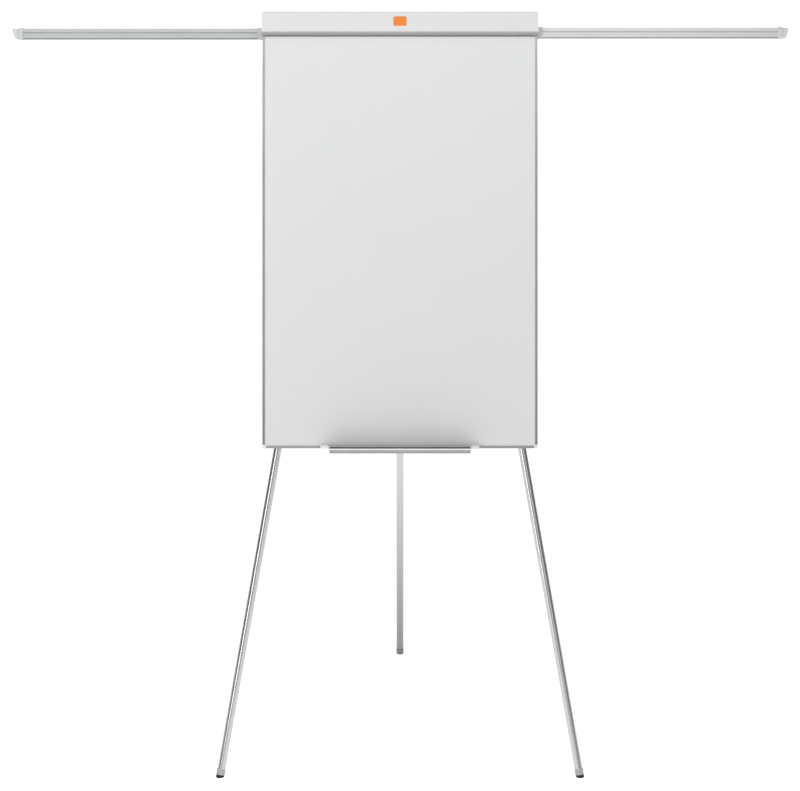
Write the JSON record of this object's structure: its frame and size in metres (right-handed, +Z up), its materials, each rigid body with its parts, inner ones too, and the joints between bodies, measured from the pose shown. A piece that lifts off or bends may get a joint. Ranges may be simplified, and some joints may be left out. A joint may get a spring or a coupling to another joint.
{
  "type": "flipchart easel",
  "caption": "Folding tripod flipchart easel: framed white board with hinged pad clamp, sliding paper arms, folding pen tray and telescopic tube legs.",
  "frame": {"origin": "on the floor, at the centre of the easel's outline from above", "axes": "+X to the viewer's right along the arms, +Y from the writing face to the rear leg, +Z up"},
  "size_m": [1.928, 0.9246, 1.8672],
  "materials": {
    "white_enamel": "gloss",
    "core_board": "matte",
    "back_sheet": "satin",
    "anodised_aluminium": "satin",
    "header_grey": "satin",
    "light_plastic": "satin",
    "badge_orange": "gloss",
    "dark_plastic": "matte",
    "black_steel": "satin",
    "zinc_steel": "satin",
    "silver_tube": "satin",
    "black_rubber": "matte"
  },
  "bodies": {
    "board": {"board_face": "white_enamel", "board_core": "core_board", "board_back": "back_sheet", "frame_left": "anodised_aluminium", "frame_right": "anodised_aluminium", "frame_top": "anodised_aluminium", "frame_bottom": "anodised_aluminium", "frame_corners": "light_plastic", "clamp_rail": "anodised_aluminium", "clamp_springs": "zinc_steel", "hinge_pins": "zinc_steel", "arm_rail": "anodised_aluminium", "arm_guides": "light_plastic", "head_bracket": "black_steel", "panel_screws": "zinc_steel", "pivot_spacers": "light_plastic", "pivot_bolts": "zinc_steel", "rear_pivot_bolt": "zinc_steel", "leg_saddle_left": "light_plastic", "leg_saddle_right": "light_plastic", "tray_clip_left": "light_plastic", "tray_clip_right": "light_plastic"},
    "clamp": {"clamp_bar": "header_grey", "clamp_grip": "black_rubber", "clamp_ends": "header_grey", "badge_plate": "badge_orange"},
    "hook_left": {"pad_hook_left": "dark_plastic"},
    "hook_right": {"pad_hook_right": "dark_plastic"},
    "left_arm": {"arm_left": "anodised_aluminium", "arm_cap_left": "light_plastic", "arm_slider_left": "dark_plastic"},
    "right_arm": {"arm_right": "anodised_aluminium", "arm_cap_right": "light_plastic", "arm_slider_right": "dark_plastic"},
    "tray": {"pen_tray": "anodised_aluminium", "tray_ends": "light_plastic"},
    "left_leg": {"leg_head_left": "dark_plastic", "leg_tube_left": "silver_tube", "leg_collar_left": "dark_plastic"},
    "left_stem": {"leg_stem_left": "silver_tube", "leg_glide_left": "light_plastic", "foot_cap_left": "light_plastic", "foot_pad_left": "black_rubber"},
    "left_knob": {"leg_knob_left": "dark_plastic"},
    "right_leg": {"leg_head_right": "dark_plastic", "leg_tube_right": "silver_tube", "leg_collar_right": "dark_plastic"},
    "right_stem": {"leg_stem_right": "silver_tube", "leg_glide_right": "light_plastic", "foot_cap_right": "light_plastic", "foot_pad_right": "black_rubber"},
    "right_knob": {"leg_knob_right": "dark_plastic"},
    "rear_leg": {"leg_head_rear": "dark_plastic", "leg_tube_rear": "silver_tube", "leg_collar_rear": "dark_plastic"},
    "rear_stem": {"leg_stem_rear": "silver_tube", "leg_glide_rear": "light_plastic", "foot_cap_rear": "light_plastic", "foot_pad_rear": "black_rubber"},
    "rear_knob": {"leg_knob_rear": "dark_plastic"}
  },
  "joints": [
    {"name": "clamp_hinge", "type": "hinge", "parent": "board", "child": "clamp", "pos_m": [0, -0.09412, 1.85276], "axis": [-1, 0, 0], "range_deg": [0, 65], "stiffness_Nm_per_rad": 0.4, "springref_deg": -22.92},
    {"name": "hook_left_slide", "type": "slide", "parent": "board", "child": "hook_left", "axis": [-1, 0, 0], "range_m": [-0.055, 0.055]},
    {"name": "hook_right_slide", "type": "slide", "parent": "board", "child": "hook_right", "axis": [1, 0, 0], "range_m": [-0.055, 0.055]},
    {"name": "arm_left_slide", "type": "slide", "parent": "board", "child": "left_arm", "axis": [1, 0, 0], "range_m": [0, 0.578]},
    {"name": "arm_right_slide", "type": "slide", "parent": "board", "child": "right_arm", "axis": [-1, 0, 0], "range_m": [0, 0.578]},
    {"name": "tray_hinge", "type": "hinge", "parent": "board", "child": "tray", "pos_m": [0, -0.33031, 0.81611], "axis": [-1, 0, 0], "range_deg": [0, 100]},
    {"name": "leg_left_swing", "type": "hinge", "parent": "board", "child": "left_leg", "pos_m": [-0.135, -0.08104, 1.7411], "axis": [0, -0.9781, 0.2079], "range_deg": [0, 10]},
    {"name": "leg_right_swing", "type": "hinge", "parent": "board", "child": "right_leg", "pos_m": [0.135, -0.08104, 1.7411], "axis": [0, 0.9781, -0.2079], "range_deg": [0, 10]},
    {"name": "leg_rear_swing", "type": "hinge", "parent": "board", "child": "rear_leg", "pos_m": [0, -0.08104, 1.7411], "axis": [-1, 0, 0], "range_deg": [0, 28.99]},
    {"name": "leg_left_extend", "type": "slide", "parent": "left_leg", "child": "left_stem", "axis": [0.1736, 0.2048, 0.9633], "range_m": [0, 0.64]},
    {"name": "leg_right_extend", "type": "slide", "parent": "right_leg", "child": "right_stem", "axis": [-0.1736, 0.2048, 0.9633], "range_m": [0, 0.64]},
    {"name": "leg_rear_extend", "type": "slide", "parent": "rear_leg", "child": "rear_stem", "axis": [0, -0.2922, 0.9564], "range_m": [0, 0.64]},
    {"name": "knob_left_turn", "type": "hinge", "parent": "left_leg", "child": "left_knob", "pos_m": [-0.28677, -0.26, 0.89919], "axis": [0, 0.9781, -0.2079], "range_deg": [0, 270]},
    {"name": "knob_right_turn", "type": "hinge", "parent": "right_leg", "child": "right_knob", "pos_m": [0.28677, -0.26, 0.89919], "axis": [0, 0.9781, -0.2079], "range_deg": [0, 270]},
    {"name": "knob_rear_turn", "type": "hinge", "parent": "rear_leg", "child": "rear_knob", "pos_m": [0, 0.17432, 0.90524], "axis": [0, 0.9564, 0.2922], "range_deg": [0, 270]}
  ]
}
